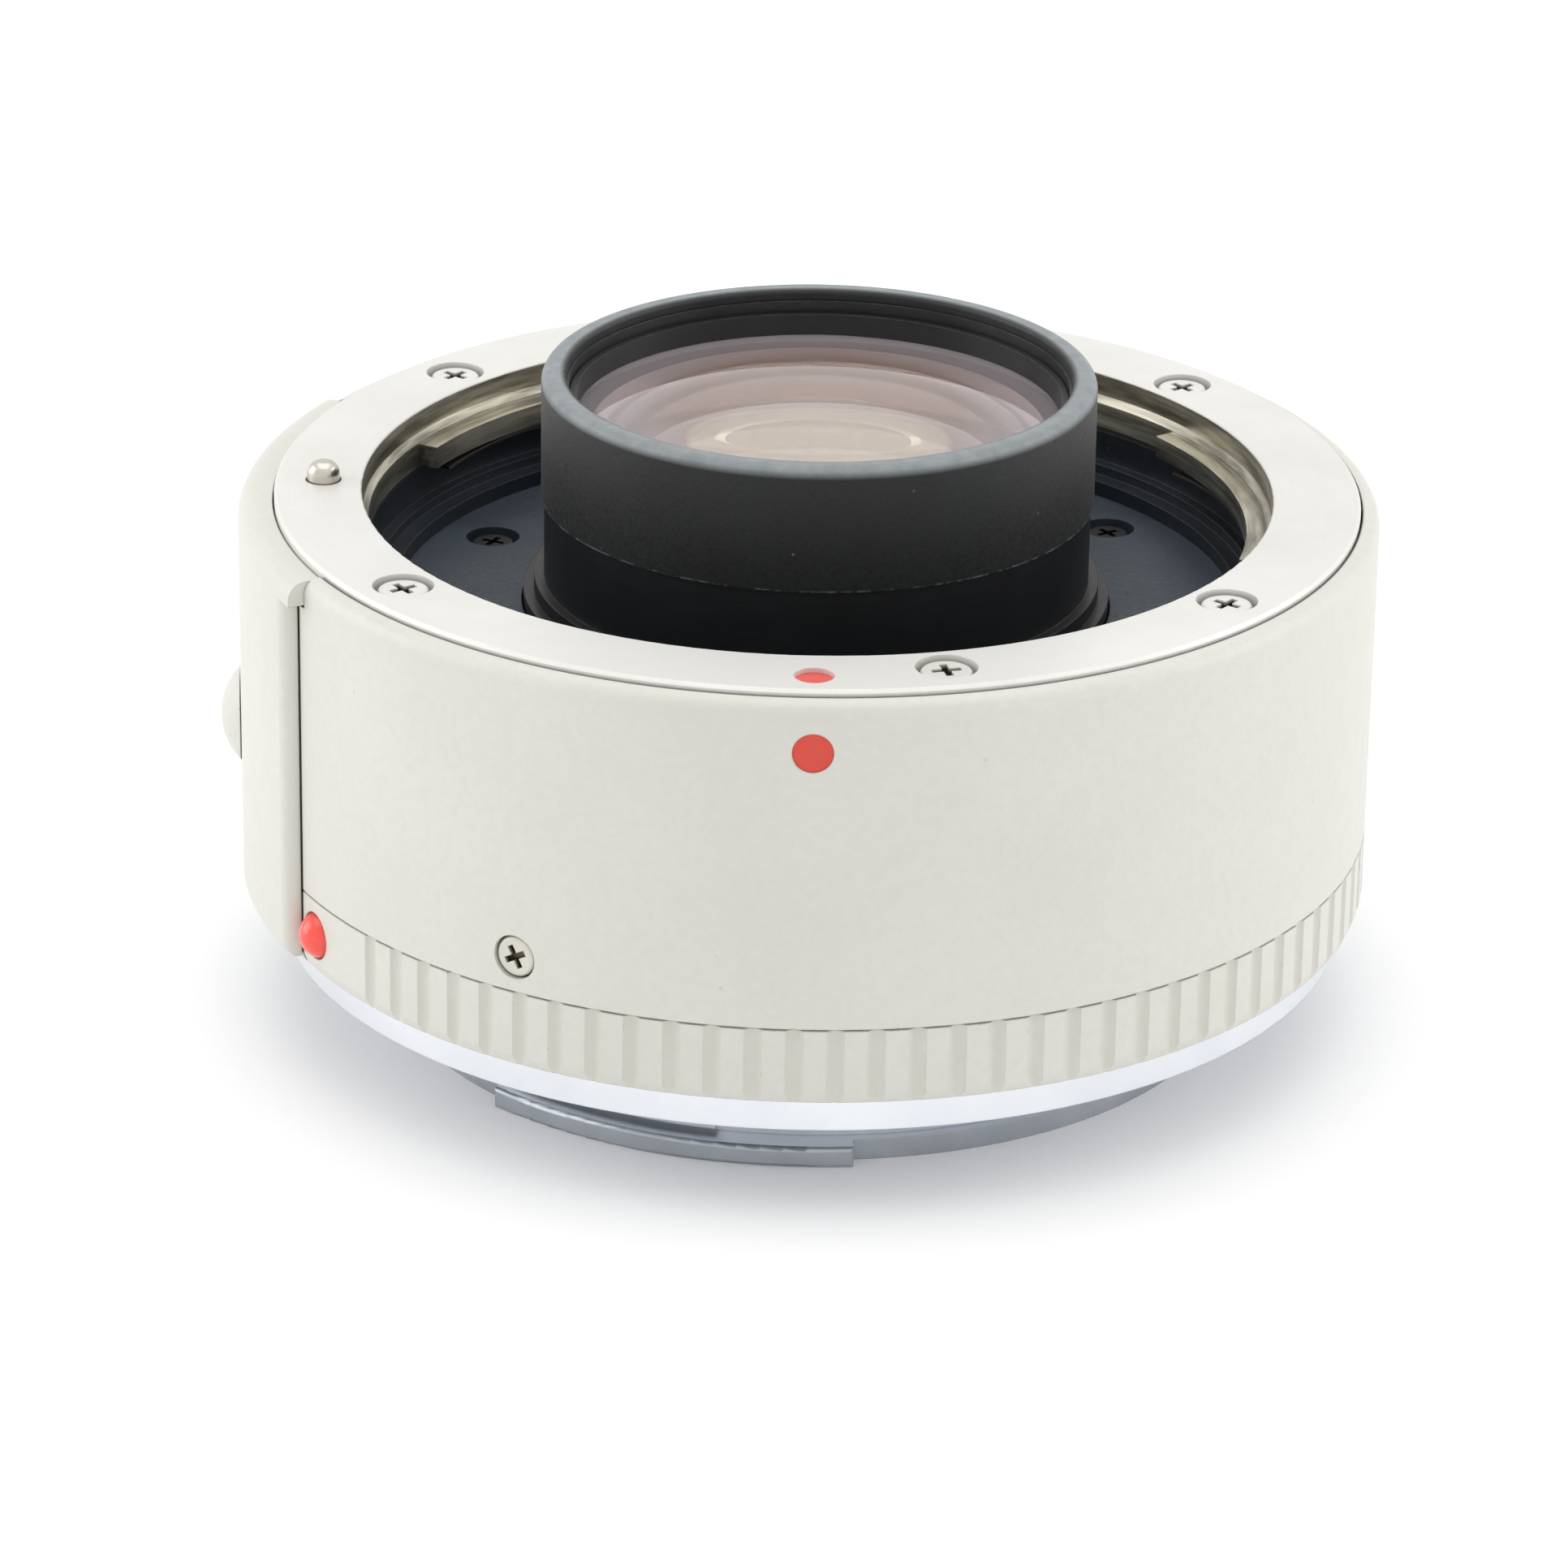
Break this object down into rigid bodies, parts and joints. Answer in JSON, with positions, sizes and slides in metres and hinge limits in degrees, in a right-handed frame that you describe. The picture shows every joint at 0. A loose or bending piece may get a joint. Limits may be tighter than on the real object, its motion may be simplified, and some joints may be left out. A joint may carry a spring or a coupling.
{
  "type": "camera teleconverter",
  "caption": "Short round off-white tube with a steel bayonet at each end, a raised rubber-faced glass barrel, a knurled grip band and a sliding lens release.",
  "frame": {"origin": "where the optical axis meets the rear flange plane, the face that seats on a camera body", "axes": "+Z along the optical axis toward the lens that is mounted in front; -Y toward the red front index; +X completes the right hand"},
  "size_m": [0.0699, 0.0676, 0.0397],
  "materials": {
    "body_paint": "satin",
    "mount_plating": "satin",
    "screw_steel": "satin",
    "black_screw": "satin",
    "spring_steel": "satin",
    "barrel_black": "matte",
    "frame_alloy": "matte",
    "liner_black": "matte",
    "rubber_black": "matte",
    "coated_glass": "polished",
    "gold_contact": "polished",
    "board_green": "satin",
    "chip_black": "matte",
    "flex_amber": "satin",
    "index_red": "gloss"
  },
  "bodies": {
    "body": {"barrel_bumper": "rubber_black", "board_components": "chip_black", "board_screws": "screw_steel", "body_index_dot": "index_red", "chamber_floor_screws": "black_screw", "chamber_liner": "liner_black", "circuit_board": "board_green", "cover_screws": "screw_steel", "front_contact_block": "liner_black", "front_contact_screws": "black_screw", "front_flex": "flex_amber", "front_index": "index_red", "front_mount_ring": "mount_plating", "front_retaining_ring": "barrel_black", "front_ring_screws": "screw_steel", "front_shim": "spring_steel", "front_spacer": "barrel_black", "grip_ring": "body_paint", "inner_frame": "frame_alloy", "lens_element_1": "coated_glass", "lens_element_2": "coated_glass", "lens_element_3": "coated_glass", "lens_element_4": "coated_glass", "lens_element_5": "coated_glass", "lock_spring": "spring_steel", "main_shell": "body_paint", "mount_leaf_springs": "spring_steel", "optics_barrel": "barrel_black", "rear_baffle": "liner_black", "rear_baffle_screws": "black_screw", "rear_contact_block": "liner_black", "rear_contact_pads": "gold_contact", "rear_contact_screws": "black_screw", "rear_flex": "flex_amber", "rear_index_bead": "index_red", "rear_mount": "mount_plating", "rear_mount_screws": "screw_steel", "rear_retaining_ring": "barrel_black", "rear_spacer": "barrel_black", "release_cover": "body_paint", "side_screws": "screw_steel"},
    "release": {"release_slide": "spring_steel", "release_knob": "body_paint", "lock_pin": "screw_steel"},
    "pin_1": {"contact_pin_1": "gold_contact"},
    "pin_2": {"contact_pin_2": "gold_contact"},
    "pin_3": {"contact_pin_3": "gold_contact"},
    "pin_4": {"contact_pin_4": "gold_contact"},
    "pin_5": {"contact_pin_5": "gold_contact"},
    "pin_6": {"contact_pin_6": "gold_contact"},
    "pin_7": {"contact_pin_7": "gold_contact"},
    "pin_8": {"contact_pin_8": "gold_contact"}
  },
  "joints": [
    {"name": "lens_release", "type": "slide", "parent": "body", "child": "release", "axis": [0, 0, 1], "range_m": [-0.0018, 0], "stiffness_N_per_m": 1000, "deforming": ["lock_spring"]},
    {"name": "contact_1_press", "type": "slide", "parent": "body", "child": "pin_1", "axis": [0, 0, 1], "range_m": [-0.0007, 0], "stiffness_N_per_m": 300},
    {"name": "contact_2_press", "type": "slide", "parent": "body", "child": "pin_2", "axis": [0, 0, 1], "range_m": [-0.0007, 0], "stiffness_N_per_m": 300},
    {"name": "contact_3_press", "type": "slide", "parent": "body", "child": "pin_3", "axis": [0, 0, 1], "range_m": [-0.0007, 0], "stiffness_N_per_m": 300},
    {"name": "contact_4_press", "type": "slide", "parent": "body", "child": "pin_4", "axis": [0, 0, 1], "range_m": [-0.0007, 0], "stiffness_N_per_m": 300},
    {"name": "contact_5_press", "type": "slide", "parent": "body", "child": "pin_5", "axis": [0, 0, 1], "range_m": [-0.0007, 0], "stiffness_N_per_m": 300},
    {"name": "contact_6_press", "type": "slide", "parent": "body", "child": "pin_6", "axis": [0, 0, 1], "range_m": [-0.0007, 0], "stiffness_N_per_m": 300},
    {"name": "contact_7_press", "type": "slide", "parent": "body", "child": "pin_7", "axis": [0, 0, 1], "range_m": [-0.0007, 0], "stiffness_N_per_m": 300},
    {"name": "contact_8_press", "type": "slide", "parent": "body", "child": "pin_8", "axis": [0, 0, 1], "range_m": [-0.0007, 0], "stiffness_N_per_m": 300}
  ]
}
